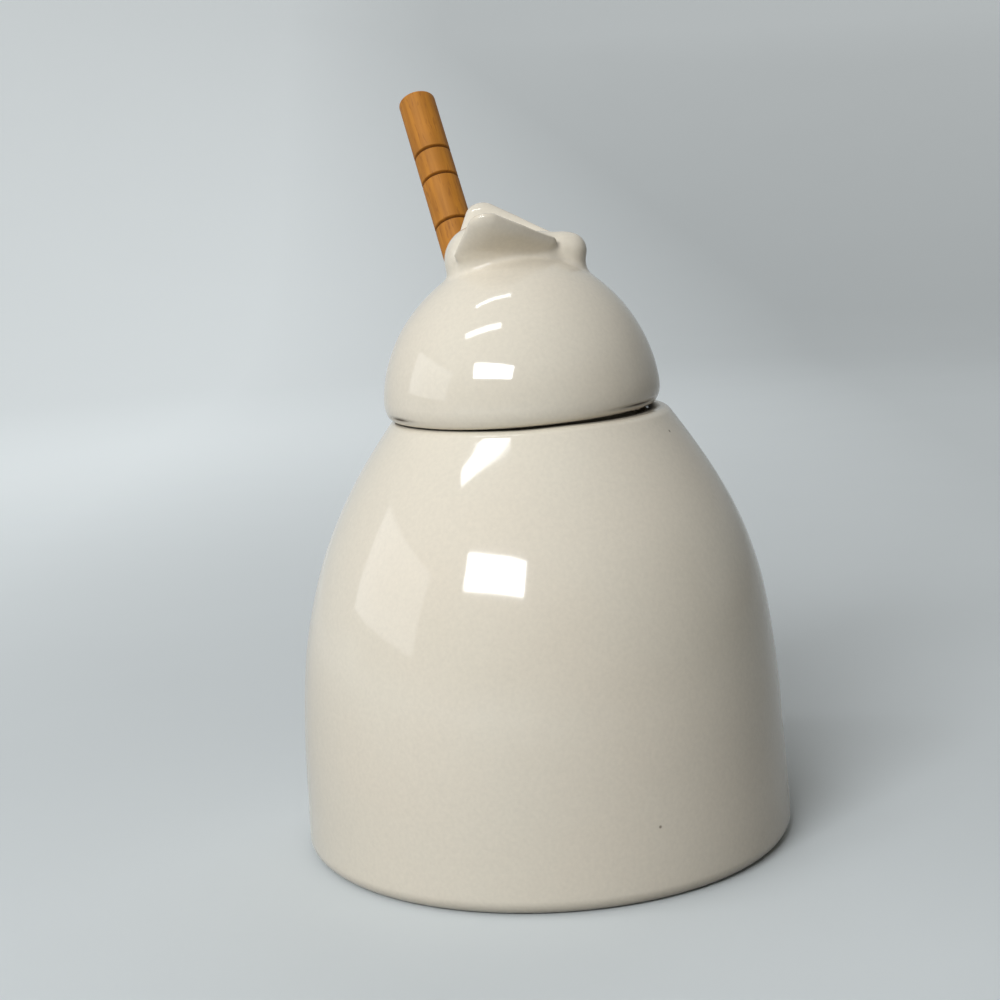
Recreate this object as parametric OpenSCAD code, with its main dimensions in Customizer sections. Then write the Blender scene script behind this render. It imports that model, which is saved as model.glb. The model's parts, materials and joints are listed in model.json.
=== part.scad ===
// Honey pot shaped like a beehive, with a lift-off notched lid, a bee for its knob,
// and a wooden dipper whose handle leans out through the notch.
// Millimetres. Origin: centre of the foot, on the table. +Z is up and +X is the pot's front,
// the way the bee looks. The bee's right is -Y.

/* [Pot] */
// Radius of the pot at its foot
base_r = 50; // [46:0.5:54]
// Height of the flat rim that carries the lid
pot_h = 87.5; // [84:0.5:90]
// How much the wall leans in for each mm of height
draft = 0.02; // [0:0.005:0.04]
// Height scale of the shoulder: a larger one closes in later
shoulder_z = 100.8; // [98:0.2:104]
// Sharpness of the shoulder: a larger one keeps the wall upright for longer
shoulder_pow = 4.03; // [3.7:0.01:4.5]
// Thickness of the wall, glaze included
pot_wall = 4.3; // [3.5:0.1:5]
// Thickness of the floor
pot_floor = 5; // [4:0.5:7]
// Width of the flat rim, from the mouth to the outside
rim_w = 3.6; // [3:0.1:4.5]
// Rounding of the rim on the side of the mouth
lip_r = 1.2; // [0.8:0.1:1.5]
// Rounding of the rim on the outside
rim_edge_r = 1; // [0.5:0.1:1.2]
// Rounding of the outside corner at the foot
foot_round = 3.1; // [2:0.1:5]
// Rounding of the inside corner at the floor
inner_round = 7; // [4:0.5:9]
// Width of the unglazed ring that the pot stands on
foot_ring_w = 6; // [4:0.5:9]
// Depth of the hollow inside that ring
foot_hollow = 1; // [0.6:0.1:2]

/* [Lid] */
// How far the lid reaches past the outside of the rim below it
lid_overhang = 0.1; // [-0.5:0.1:1]
// Height of the lid's widest circle above its lower edge
lid_edge_h = 3.5; // [2.5:0.1:4.5]
// How far the lower edge is drawn in under the widest circle
lid_edge_in = 1.8; // [1:0.1:2.4]
// Height of the dome above the widest circle
dome_h = 28; // [25:0.5:32]
// Fullness of the dome: 2 is an ellipse, and a smaller one is more pointed
dome_pow = 1.74; // [1.6:0.02:2]
// Thickness of the dome
lid_wall = 3.5; // [3:0.1:4.2]
// Depth of the collar that drops into the mouth
collar_h = 6; // [4:0.5:8]
// Thickness of the collar
collar_w = 2.4; // [2:0.1:3]
// Play between the collar and the mouth, all round
collar_play = 1.2; // [0.9:0.1:1.6]
// Where the lid has come to rest in that play, toward the front
lid_shift = -0.8; // [-0.8:0.1:0.8]
// Gap between the lid's lower edge and the pot's rim
seat_gap = 0.3; // [0.2:0.05:0.5]
// Gap between the notch and each side of the handle
notch_play = 3; // [1.2:0.1:3.6]
// Gap between the top of the notch and the handle
notch_head = 1.5; // [0.4:0.1:3]

/* [Bee body] */
// Depth of the bee's centre line below the top of the dome
bee_sink = 1.1; // [0.4:0.1:2]
// Radius of the abdomen
abdomen_r = 7; // [6:0.1:7.6]
// Place of the abdomen's thickest part behind the middle of the lid
abdomen_back = 7.2; // [6:0.1:8]
// Length of the abdomen in front of its thickest part
abdomen_front = 10.5; // [9:0.5:12]
// Radius of the thorax
thorax_r = 5; // [4.6:0.1:5.6]
// Place of the thorax before the middle of the lid
thorax_x = 4.2; // [3.4:0.1:5]
// Radius of the head
head_r = 3.45; // [3.3:0.05:4]
// Place of the head before the middle of the lid
head_x = 10.7; // [9.5:0.1:11.5]
// Height of the head above the bee's centre line
head_z = 1; // [0.4:0.1:1.6]
// How much slimmer the neck and the chin are than the head, as a radius
neck_in = 0.2; // [0.1:0.05:0.6]
// How far the bee was set down turned to its left
bee_turn = 3.9; // [0:0.1:6]
// How far the bee was set down tipped to its right
bee_tip = 3.7; // [0:0.1:6]

/* [Bee wings] */
// Place of the wing's front end before the middle of the lid
wing_front_x = 7.7; // [7:0.1:9]
// Distance of the wing's front end from the bee's centre line
wing_front_y = 3.4; // [2.8:0.1:4]
// Height of the wing's root above the bee's centre line
wing_root_z = 1.6; // [0.8:0.1:2]
// How far each wing leans out from upright
wing_lean = 39; // [30:1:44]
// How far each wing swings out toward the back
wing_spread = 14; // [8:1:20]
// Length of the wing from its front end to its broad end
wing_l = 18.6; // [17:0.1:20]
// Length of the wing along its root
wing_root_l = 20.3; // [18:0.1:21]
// Width of the wing across its broad end, from root to top
wing_w = 11.1; // [10:0.1:12.5]
// Radius of the broad end's top corner
wing_broad_r = 3.6; // [3.2:0.1:4.4]
// Distance from the front end to the bend of the wing's top edge
wing_bend_at = 8.5; // [7:0.1:10]
// Width of the wing at that bend
wing_bend_w = 7.7; // [7:0.1:8.5]
// Radius of the front end and of the root's corners
wing_tip_r = 1.7; // [1.4:0.1:2]
// Thickness of the wing at its broad end
wing_t = 3; // [2.4:0.1:3.4]
// Thickness of the wing along its root and its front end
wing_thin_t = 2; // [1.6:0.1:2.4]

/* [Dipper] */
// Length of the whole dipper
dipper_l = 180; // [165:1:190]
// Thickness of the handle
handle_d = 8.4; // [7.5:0.1:9]
// Greatest diameter of the ribbed head
dip_head_d = 22; // [19:0.5:24]
// Length of the ribbed head
dip_head_l = 34; // [31:1:40]
// Radius of the head's core between the ribs
core_r = 6.3; // [6:0.1:7]
// Number of grooves turned round the head
head_grooves = 5; // [4:1:6]
// Width of each of those grooves
head_groove_w = 2.2; // [1.6:0.1:2.6]
// Depth of the glued socket that holds the handle
socket_h = 14; // [10:1:18]
// Gap for the glue round the handle
glue_gap = 0.05; // [0.03:0.01:0.1]
// Rounding of the handle's top end
handle_end_r = 0.8; // [0.4:0.1:1.5]
// Distance of the first turned line from the top end
line_1 = 15.8; // [12:0.1:19]
// Distance of the second turned line from the top end
line_2 = 23.1; // [21:0.1:29]
// Distance of the third turned line from the top end
line_3 = 35.2; // [31:0.1:44]
// Width of a turned line
line_w = 1.1; // [0.8:0.1:1.6]
// Depth of a turned line
line_depth = 0.8; // [0.4:0.1:1.2]

/* [Dipper at rest] */
// Direction in which the handle leans, turned from the pot's front, seen from above
lean_way = 111; // [90:1:130]
// How far the dipper lies beside the pot's centre line
lean_aside = 2.3; // [0:0.1:3]
// Gap at each place where the dipper rests on the pot
rest_gap = 0.3; // [0.2:0.05:0.5]

/* [Hidden] */
$fn = 96;
glaze = "#e9e4d8";
beech = "#b67e38";
nudge = 0.01;
cut_over = 1;

// ---- Profiles, as [radius, height] ----

// Outside of the pot: a wall with a little draft, closed in by the shoulder
function pot_out(z) = [(base_r - draft * z) * exp(-pow(z / shoulder_z, shoulder_pow)), z];
// Outside of the dome, by an angle that runs from its widest circle at 0 to its top at 90
function dome_out(a) = [lid_r * cos(a), lid_edge_h + dome_h * pow(sin(a), 2 / dome_pow)];
// The point at a depth of t straight in from a curve's point at s
function inside(curve, s, t) =
    let (d = curve(s + nudge) - curve(s - nudge), u = d / norm(d))
    curve(s) + t * [-u.y, u.x];
// Points of an arc, from one angle to another
function arc(centre, r, from, to, steps) =
    [for (i = [0:steps]) let (a = from + (to - from) * i / steps) centre + r * [cos(a), sin(a)]];
// Evenly spaced numbers, both ends included
function spread(from, to, steps) = [for (i = [0:steps]) from + (to - from) * i / steps];

crown_r = pot_out(pot_h).x;
mouth_r = crown_r - rim_w;
collar_r = mouth_r - collar_play;
collar_in = collar_r - collar_w;
lid_r = crown_r + lid_overhang;
lid_z = pot_h + seat_gap;
dome_steps = 16;
wall_steps = 20;

// ---- Rest of the dipper, in the upright plane that it leans in ----
// The head's round end lies in the corner of the floor and the wall, and the handle lies
// on the lip of the mouth. In the plane, x runs the way the handle leans.

handle_r = handle_d / 2;
ball_r = dip_head_d / 2;
ball_z = pot_floor + ball_r + rest_gap;
wall_in_r = inside(function (z) pot_out(z), ball_z, pot_wall).x;
ball_x = -sqrt(pow(wall_in_r - ball_r - rest_gap, 2) - pow(lean_aside, 2));
lip_x = sqrt(pow(mouth_r + lip_r, 2) - pow(lean_aside, 2));
lip_z = pot_h - lip_r;
to_lip = [lip_x - ball_x, lip_z - ball_z];
tilt = atan2(to_lip.x, to_lip.y) - asin((handle_r + lip_r + rest_gap) / norm(to_lip));

// ---- Notch of the lid, where the handle's centre line meets the middle of the lid's wall ----

// Place of the dipper's centre line at a height, seen from above
function dipper_at(z) =
    let (x = ball_x + (z - ball_z) * tan(tilt))
    [x * cos(lean_way) + lean_aside * sin(lean_way), x * sin(lean_way) - lean_aside * cos(lean_way)];
lid_mid_r = lid_r - lid_wall / 2;
// The line's run and its nearest point to the lid's axis give the place on that circle
line_dir = [cos(lean_way), sin(lean_way)];
from_lid = dipper_at(ball_z) - [lid_shift, 0];
along = from_lid * line_dir;
beside = norm(from_lid - along * line_dir);
run = sqrt(pow(lid_mid_r, 2) - pow(beside, 2)) - along;
notch_z = ball_z + run / tan(tilt);
notch_at = dipper_at(notch_z) - [lid_shift, 0];
notch_way = atan2(notch_at.y, notch_at.x);
notch_r = handle_r + notch_play;
notch_top = notch_z + (handle_r + notch_head) / sin(tilt) - lid_z;

// ---- Pot ----

module pot_body() {
    corner = [pot_out(foot_round).x - foot_round, foot_round];
    ring_in = corner.x + foot_round - foot_ring_w;
    crown_z = pot_h - rim_edge_r;
    in_z = pot_floor + inner_round;
    inner = [for (z = spread(pot_h, in_z, wall_steps))
        let (p = inside(function (s) pot_out(s), z, pot_wall)) [max(p.x, mouth_r), p.y]];
    floor_corner = [inner[wall_steps].x - inner_round, in_z];
    color(glaze) rotate_extrude() polygon(concat(
        [[0, foot_hollow], [ring_in - foot_hollow, foot_hollow], [ring_in, 0]],
        arc(corner, foot_round, -90, 0, 6),
        [for (z = spread(foot_round, crown_z, wall_steps)) if (z > foot_round) pot_out(z)],
        arc([pot_out(crown_z).x - rim_edge_r, crown_z], rim_edge_r, 30, 90, 3),
        arc([mouth_r + lip_r, pot_h - lip_r], lip_r, 90, 180, 4),
        inner,
        arc(floor_corner, inner_round, 0, -90, 6),
        [[0, pot_floor]]));
}

// ---- Lid ----

module on_lid() translate([lid_shift, 0, lid_z]) children();

// Outside of the lid, filled, for cutting what stands on it
module dome_solid() rotate_extrude() polygon(concat(
    [[0, 0]],
    [for (a = spread(0, 90, 6))
        [lid_r - lid_edge_in + lid_edge_in * sin(a), lid_edge_h * (1 - cos(a))]],
    [for (a = spread(0, 90, dome_steps)) if (a > 0) dome_out(a)]));

module lid_hollow() {
    top_in = lid_edge_h + dome_h - lid_wall;
    rotate_extrude() polygon(concat(
        [[0, -collar_h - cut_over], [collar_in, -collar_h - cut_over], [collar_in, nudge]],
        [for (a = spread(90 / dome_steps, 90, dome_steps - 1)) if (a < 90)
            inside(function (s) dome_out(s), a, lid_wall)],
        [[0, top_in]]));
}

// The slot that lets the handle out, with a round top and open below
module notch() rotate([0, 0, notch_way]) translate([collar_in / 2, 0, 0]) {
    slot_l = lid_r;
    translate([0, -notch_r, -collar_h - cut_over])
        cube([slot_l, 2 * notch_r, collar_h + cut_over + notch_top - notch_r]);
    translate([0, 0, notch_top - notch_r]) rotate([0, 90, 0]) cylinder(r = notch_r, h = slot_l);
}

module lid_shell() color(glaze) on_lid() difference() {
    union() {
        dome_solid();
        translate([0, 0, -collar_h]) cylinder(r = collar_r, h = collar_h + lid_edge_h);
    }
    lid_hollow();
    notch();
}

// ---- Bee ----

module on_bee() on_lid() translate([0, 0, lid_edge_h + dome_h - bee_sink])
    rotate([bee_tip, 0, bee_turn]) children();

// An egg that lies along X, blunt behind and drawn out before
module abdomen() translate([-abdomen_back, 0, 0]) rotate([0, 90, 0]) rotate_extrude()
    polygon([for (a = spread(0, 180, 24))
        [abdomen_r * sin(a), cos(a) * (a < 90 ? abdomen_front : abdomen_r)]]);

module bee_solid() {
    neck_r = head_r - neck_in;
    abdomen();
    translate([thorax_x, 0, 0]) sphere(r = thorax_r);
    translate([thorax_x, 0, head_z]) rotate([0, 90, 0]) cylinder(r = neck_r, h = head_x - thorax_x);
    translate([head_x, 0, head_z]) sphere(r = head_r);
    translate([head_x, 0, head_z - 2 * head_r]) cylinder(r = neck_r, h = 2 * head_r);
}

module bee_body() color(glaze) difference() {
    on_bee() bee_solid();
    on_lid() dome_solid();
}

// A disc of radius r whose rim is a half circle, t thick
module rounded_disc(r, t) rotate_extrude($fn = 32) intersection() {
    union() {
        translate([r - t / 2, 0]) circle(d = t, $fn = 16);
        translate([0, -t / 2]) square([r - t / 2, t]);
    }
    translate([0, -t / 2]) square([r, t]);
}

// One wing in its own plane: X forward from the front end, Y up from the root, Z through it
module wing_plate() {
    mid_r = (wing_broad_r + wing_tip_r) / 2;
    mid_t = (wing_t + wing_thin_t) / 2;
    hull() {
        translate([wing_broad_r - wing_l, wing_w - wing_broad_r]) rounded_disc(wing_broad_r, wing_t);
        translate([wing_tip_r - wing_root_l, 0]) rounded_disc(wing_tip_r, wing_thin_t);
        translate([-wing_bend_at, wing_bend_w - mid_r]) rounded_disc(mid_r, mid_t);
        translate([-wing_tip_r, wing_tip_r]) rounded_disc(wing_tip_r, wing_thin_t);
        translate([-wing_tip_r, 0]) rounded_disc(wing_tip_r, wing_thin_t);
    }
}

// The bee's right wing, leaning out to its right
module right_wing() translate([wing_front_x, -wing_front_y, wing_root_z])
    rotate([90 + wing_lean, 0, wing_spread]) wing_plate();

// What is left of a wing outside the bee's body and the dome
module set_on_bee() difference() {
    on_bee() children();
    on_bee() bee_solid();
    on_lid() dome_solid();
}

module bee_wing_right() color(glaze) set_on_bee() right_wing();
module bee_wing_left() color(glaze) set_on_bee() mirror([0, 1, 0]) right_wing();

// ---- Dipper, drawn upright from the tip of its head, then laid to rest ----

module on_rest() translate([dipper_at(ball_z).x, dipper_at(ball_z).y, ball_z])
    rotate([0, tilt, lean_way]) translate([0, 0, -ball_r]) children();

// Radius of the head's outline at a distance from its tip: a ball, a barrel and a shoulder
function head_out(s) =
    let (taper = dip_head_l - dip_head_d, k = (s - dip_head_d) / taper, end_r = core_r + 0.7)
    s < ball_r ? sqrt(max(0, s * (2 * ball_r - s)))
    : s < dip_head_d ? ball_r
    : end_r + (ball_r - end_r) * (1 + cos(180 * k)) / 2;

module dipper_head() {
    rib_pitch = (dip_head_l - head_groove_w) / (head_grooves + 1);
    color(beech) on_rest() difference() {
        rotate_extrude() polygon(concat([[0, 0]],
            [for (s = spread(0, dip_head_l, 34)) if (s > 0) [head_out(s), s]],
            [[0, dip_head_l]]));
        for (i = [1:head_grooves]) translate([0, 0, i * rib_pitch])
            rotate_extrude() polygon([[core_r, 0], [ball_r + cut_over, 0],
                [ball_r + cut_over, head_groove_w], [core_r, head_groove_w]]);
        translate([0, 0, dip_head_l - socket_h - glue_gap])
            cylinder(r = handle_r + glue_gap, h = socket_h + cut_over);
    }
}

module dipper_handle() {
    foot_z = dip_head_l - socket_h;
    function turned_line(from_top) = let (z = dipper_l - from_top)
        [[handle_r, z - line_w / 2], [handle_r - line_depth, z], [handle_r, z + line_w / 2]];
    color(beech) on_rest() rotate_extrude() polygon(concat(
        [[0, foot_z], [handle_r, foot_z]],
        turned_line(line_3), turned_line(line_2), turned_line(line_1),
        arc([handle_r - handle_end_r, dipper_l - handle_end_r], handle_end_r, 0, 90, 4),
        [[0, dipper_l]]));
}

pot_body();
lid_shell();
bee_body();
bee_wing_right();
bee_wing_left();
dipper_head();
dipper_handle();
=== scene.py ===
"""A honey pot shaped like a beehive, glazed, with a notched lid, a bee for its knob and a dipper.

All is in metres, in the frame of the packed model: the origin is the centre of the foot, +Z is up
and +X is the pot's front. What the frame holds is read from it, and the other sizes stand in the
property groups. Every surface is worked out in whole arrays: the pot, the lid and the dipper are
profiles carried round an axis, and the bee and its wings are the zero surface of a smooth distance.
"""
import json
import math

import bpy
import numpy as np
from bpy.props import FloatProperty, FloatVectorProperty, PointerProperty
from mathutils import Matrix, Quaternion, Vector


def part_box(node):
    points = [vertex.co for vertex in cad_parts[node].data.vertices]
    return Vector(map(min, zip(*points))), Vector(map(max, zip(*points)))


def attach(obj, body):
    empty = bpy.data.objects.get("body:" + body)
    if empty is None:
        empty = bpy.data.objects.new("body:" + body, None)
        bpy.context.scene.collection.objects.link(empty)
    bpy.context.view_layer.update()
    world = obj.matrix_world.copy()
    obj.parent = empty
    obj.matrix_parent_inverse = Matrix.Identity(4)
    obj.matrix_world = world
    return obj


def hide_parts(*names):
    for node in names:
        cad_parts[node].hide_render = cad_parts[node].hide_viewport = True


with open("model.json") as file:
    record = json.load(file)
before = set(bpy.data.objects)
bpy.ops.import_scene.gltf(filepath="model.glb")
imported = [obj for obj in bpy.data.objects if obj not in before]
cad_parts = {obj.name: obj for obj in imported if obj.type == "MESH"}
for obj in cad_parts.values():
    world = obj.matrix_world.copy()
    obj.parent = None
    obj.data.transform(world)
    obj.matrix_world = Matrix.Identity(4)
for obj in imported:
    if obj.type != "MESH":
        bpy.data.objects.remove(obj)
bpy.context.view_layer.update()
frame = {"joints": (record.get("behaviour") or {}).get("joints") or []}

bl_info = {
    "name": "Beehive Honey Pot",
    "version": (1, 0, 0),
    "blender": (4, 5, 0),
    "location": "View3D > Sidebar > Honey Pot",
    "description": "Makes a glazed beehive honey pot with its lid, its bee and its dipper",
    "category": "Object",
}

MM = 0.001

# ---- What the frame says ----

POT_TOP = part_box("pot_body")[1].z
LID_LOW, LID_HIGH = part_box("lid_shell")
LID_AXIS_X = (LID_LOW.x + LID_HIGH.x) / 2
LID_R = (LID_HIGH.x - LID_LOW.x) / 2
HEAD_LOW, HEAD_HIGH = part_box("dipper_head")
DRAW = next(joint for joint in frame["joints"] if joint["name"] == "dipper_draw")
DIPPER_WAY = Vector(DRAW["axis"]).normalized()


def srgb(code):
    """A colour written as an sRGB hex code, as linear red, green, blue and alpha."""
    parts = [int(code[i:i + 2], 16) / 255 for i in (1, 3, 5)]
    return tuple(c / 12.92 if c <= 0.04045 else ((c + 0.055) / 1.055) ** 2.4 for c in parts) + (1.0,)


def length(name, about, mm):
    """A size as a property, given in millimetres."""
    return FloatProperty(name=name, description=about, default=mm * MM, unit="LENGTH", precision=5)


def angle(name, about, degrees):
    """A turn as a property, given in degrees."""
    return FloatProperty(name=name, description=about, default=math.radians(degrees),
                         unit="ROTATION", precision=5)


def number(name, about, value):
    """A plain number as a property."""
    return FloatProperty(name=name, description=about, default=value)


def colour(name, about, code):
    """A colour as a property, given as an sRGB hex code."""
    return FloatVectorProperty(name=name, description=about, default=srgb(code), subtype="COLOR",
                               size=4, min=0, max=1)


# ---- Sizes and colours that a user would change ----

class PotSizes(bpy.types.PropertyGroup):
    """The pot."""
    base_r: length("Foot radius", "Radius that the wall has at the table", 50)
    draft: number("Draft", "How much the wall leans in for its height", 0.02)
    shoulder_z: length("Shoulder", "Height scale of the shoulder", 100.8)
    shoulder_pow: number("Shoulder sharpness", "A larger one keeps the wall upright", 4.03)
    wall: length("Wall", "Thickness of the wall", 4.3)
    floor: length("Floor", "Thickness of the floor", 5)
    rim_w: length("Rim", "Width of the rim that carries the lid", 3.6)
    lip_r: length("Lip", "Rounding of the rim on the side of the mouth", 1.2)
    rim_edge_r: length("Rim edge", "Rounding of the rim on the outside", 2.4)
    rim_low: length("Rim sag", "How far the fired rim sinks at the back", 0.35)
    foot_round: length("Foot corner", "Rounding of the outside corner at the foot", 3.1)
    inner_round: length("Inside corner", "Rounding of the inside corner at the floor", 7)
    foot_ring_w: length("Foot ring", "Width of the unglazed ring that the pot stands on", 6)
    foot_hollow: length("Foot hollow", "Depth of the hollow inside that ring", 1)
    uneven: length("Unevenness", "How far the cast wall strays from a true round", 0.14)
    shoulder_out: length("Shoulder bulge", "How far the front of the shoulder stands out", 0.6)
    belly_in: length("Belly dent", "How far the front of the belly falls in", 0.42)
    heel_out: length("Heel bulge", "How far the back of the belly stands out", 0.22)


class LidSizes(bpy.types.PropertyGroup):
    """The lid without its bee."""
    edge_h: length("Edge height", "Height of the widest circle above the lower edge", 3.5)
    edge_in: length("Edge tuck", "How far the lower edge is drawn in", 1.8)
    dome_h: length("Dome height", "Height of the dome above the widest circle", 28)
    dome_pow: number("Dome fullness", "2 is an ellipse, and less is more pointed", 1.74)
    wall: length("Wall", "Thickness of the dome", 3.5)
    collar_h: length("Collar depth", "How far the collar drops into the mouth", 6)
    collar_w: length("Collar wall", "Thickness of the collar", 2.4)
    collar_play: length("Play", "Play between the collar and the mouth, all round", 1.2)
    notch_play: length("Notch play", "Gap between the notch and each side of the handle", 3)
    notch_head: length("Notch headroom", "Gap between the notch's top and the handle", 1.5)
    notch_soft: length("Notch edge", "Rounding of the notch's edges", 1.1)
    edge_lift: length("Edge lift", "How far the warped edge stands up at the front", 0.7)
    edge_sag: length("Edge sag", "How far the warped edge sinks at the back", 0.3)
    back_out: length("Back bulge", "How far the back of the dome stands out", 0.55)
    crease: length("Crease", "Depth of the crease where the glaze stopped above the edge", 0.28)


class BeeSizes(bpy.types.PropertyGroup):
    """The bee and its two wings."""
    sink: length("Sink", "Depth of the bee's centre line below the dome's top", 1.1)
    abdomen_r: length("Abdomen", "Radius of the abdomen", 7)
    abdomen_back: length("Abdomen place", "Its thickest part behind the lid's axis", 7.2)
    abdomen_front: length("Abdomen taper", "Length before its thickest part", 10.5)
    thorax_r: length("Thorax", "Radius of the thorax", 5)
    thorax_x: length("Thorax place", "The thorax before the lid's axis", 4.2)
    head_r: length("Head", "Radius of the head", 3.45)
    head_x: length("Head place", "The head before the lid's axis", 10.7)
    head_z: length("Head height", "The head above the bee's centre line", 1)
    chin_in: length("Chin", "How much slimmer the chin is than the head", 0.2)
    neck_r: length("Neck", "Radius of the neck", 3.65)
    neck_x: length("Neck place", "The neck's end before the lid's axis", 9.2)
    turn: angle("Turn", "How far the bee was set down turned to its left", 3.9)
    tip: angle("Tip", "How far the bee was set down tipped to its right", 3.7)
    front_x: length("Wing front", "The wing's front end before the lid's axis", 7.7)
    front_y: length("Wing side", "The wing's front end from the centre line", 3.4)
    left_ahead: length("Left wing ahead", "How much further forward the left wing was set", 0.6)
    root_z: length("Wing root", "The wing's root above the bee's centre line", 1.6)
    lean: angle("Wing lean", "How far a wing leans out from upright", 39)
    swing: angle("Wing swing", "How far a wing swings out at the back", 11)
    wing_l: length("Wing length", "From the front end to the broad end", 18.6)
    root_l: length("Root length", "Length of the wing along its root", 20.3)
    wing_w: length("Wing width", "From the root to the top of the broad end", 11.1)
    broad_r: length("Broad corner", "Radius of the broad end's top corner", 3.6)
    bend_at: length("Bend place", "From the front end to the top edge's bend", 9.3)
    bend_w: length("Bend width", "Width of the wing at that bend", 8.1)
    tip_r: length("Wing tip", "Radius of the front end and of the root's corners", 1.7)
    wing_t: length("Wing thickness", "Thickness at the broad end", 3.4)
    thin_t: length("Root thickness", "Thickness along the root and the front end", 2)
    puff: length("Wing puff", "Depth of the wing's rounded rim, in from its outline", 2.9)
    bow: length("Wing bow", "How far the middle of a wing bows out before its ends", 0.9)
    body_fillet: length("Body fillet", "Width of the slip that joins the bee to the dome", 2.4)
    wing_fillet: length("Wing fillet", "Width of the slip that joins a wing", 3.4)


class DipperSizes(bpy.types.PropertyGroup):
    """The dipper."""
    whole_l: length("Length", "Length of the whole dipper", 179.96)
    handle_d: length("Handle", "Thickness of the handle", 8.37)
    head_d: length("Head", "Greatest diameter of the ribbed head", 22)
    head_l: length("Head length", "Length of the ribbed head", 34)
    core_r: length("Core", "Radius between the ribs", 6.3)
    groove_w: length("Groove", "Width of each groove round the head", 2.2)
    rib_soft: length("Rib edge", "Rounding of the ribs' edges", 0.45)
    socket_h: length("Socket", "Depth of the glued socket", 14)
    glue: length("Glue gap", "Gap for the glue round the handle", 0.05)
    end_r: length("End", "Rounding of the handle's top end", 0.8)
    line_1: length("Line 1", "First turned line from the top end", 15.8)
    line_2: length("Line 2", "Second turned line from the top end", 23.1)
    line_3: length("Line 3", "Third turned line from the top end", 35.2)
    line_w: length("Line width", "Width of a turned line", 0.8)
    line_depth: length("Line depth", "Depth of a turned line", 0.8)


class Finishes(bpy.types.PropertyGroup):
    """Colours of the finishes and of the studio."""
    glaze: colour("Glaze", "Warm ivory glaze", "#e4dece")
    glaze_warm: colour("Warm glaze", "The glaze where it lies a little thinner", "#e6dbc9")
    glaze_thin: colour("Thin glaze", "The clay tinting the glaze on edges", "#d8c6ac")
    speck: colour("Speck", "Iron specks and pinholes in the glaze", "#7d6e5a")
    clay: colour("Clay", "Bare fired clay of the foot ring", "#d8cbb4")
    # Painted shade: this dark brown stands for the shade in the gap under the lid's edge and in the
    # lid's creases, on matt bare clay.
    shade_and_clay: colour("Seat", "Clay that shows under the lid's edge, darkened by use", "#4a3f33")
    wood: colour("Wood", "Oiled beech", "#bb7a22")
    wood_dark: colour("Late wood", "Late wood and rays of the beech", "#8a5012")
    burnt: colour("Turned line", "The line that friction burnt into the wood", "#4a2810")
    paper: colour("Floor", "Pale floor and backdrop", "#d5dbdd")
    bounce: colour("Bounce", "What the floor throws back on the pot, as from a darker table", "#7b7a77")


GROOVES = 5              # Grooves round the dipper's head
ROUND_STEPS = 288        # Corners of a circle round the pot and the lid


# ---- Curves, as arrays of [radius, height] ----

def arc(centre, radius, start, end, steps):
    """Points of an arc: centre plus radius times (cos, sin) of evenly spaced angles in degrees."""
    a = np.radians(np.linspace(start, end, steps + 1))
    return np.stack([centre[0] + radius * np.cos(a), centre[1] + radius * np.sin(a)], 1)


def rounded(corners, radii, steps=6):
    """A polyline with its corners rounded: each is replaced by a quadratic arc that starts and ends
    on its two sides, as far from the corner as a circle of the given radius touches them."""
    p = np.asarray(corners, float)
    out = [p[:1]]
    for before, here, after, r in zip(p[:-2], p[1:-1], p[2:], radii):
        u, v = before - here, after - here
        lu, lv = np.linalg.norm(u), np.linalg.norm(v)
        half = math.acos(np.clip(u @ v / (lu * lv), -1, 1)) / 2
        reach = min(r / math.tan(half), lu * 0.48, lv * 0.48) if r else 0
        if reach < 1e-7:
            out.append(here[None])
            continue
        a, b = here + u / lu * reach, here + v / lv * reach
        t = np.linspace(0, 1, steps + 1)[:, None]
        out.append((1 - t) ** 2 * a + 2 * t * (1 - t) * here + t ** 2 * b)
    return np.concatenate(out + [p[-1:]])


def joined(*runs):
    """One run of points from several, without the points that repeat."""
    p = np.concatenate([np.asarray(r, float).reshape(-1, 2) for r in runs])
    keep = np.r_[True, np.linalg.norm(np.diff(p, axis=0), axis=1) > 1e-7]
    return p[keep]


def inward(curve, s, depth, nudge=1e-5):
    """Points at a depth straight in from a curve: the curve's point plus depth times the left normal
    of its direction, which is taken between two near points."""
    d = curve(s + nudge) - curve(s - nudge)
    u = d / np.linalg.norm(d, axis=-1, keepdims=True)
    return curve(s) + depth * np.stack([-u[..., 1], u[..., 0]], -1)


def ease(x, low, high):
    """0 below low, 1 above high, and 3t^2 - 2t^3 between them."""
    t = np.clip((x - low) / (high - low), 0, 1)
    return t * t * (3 - 2 * t)


def polar(r, a, z):
    """Points from a distance from the Z axis, an angle round it and a height."""
    return np.stack(np.broadcast_arrays(r * np.cos(a), r * np.sin(a), z), -1)


def about_axis(points):
    """The angle round the Z axis, the distance from it and the height of each point."""
    x, y, z = np.moveaxis(points, -1, 0)
    return np.arctan2(y, x), np.hypot(x, y), z


def moved(points, share, rise):
    """Points moved out from the Z axis by a share of their distance from it, and up."""
    x, y, z = points.T
    return np.stack([x + x * share, y + y * share, z + rise], 1)


# ---- Meshes from arrays ----

def grid_faces(index):
    """Faces between the rows and columns of a grid of vertex numbers, as quads and triangles. Where
    two corners are one vertex, as at a pole, the face is a triangle, and with fewer there is none."""
    quads = np.stack([index[:-1, :-1], index[1:, :-1], index[1:, 1:], index[:-1, 1:]], -1)
    quads = quads.reshape(-1, 4)
    same = quads == np.roll(quads, -1, axis=1)
    cut = same.sum(1) == 1
    return quads[~same.any(1)], quads[cut][~same[cut]].reshape(-1, 3)


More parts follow.
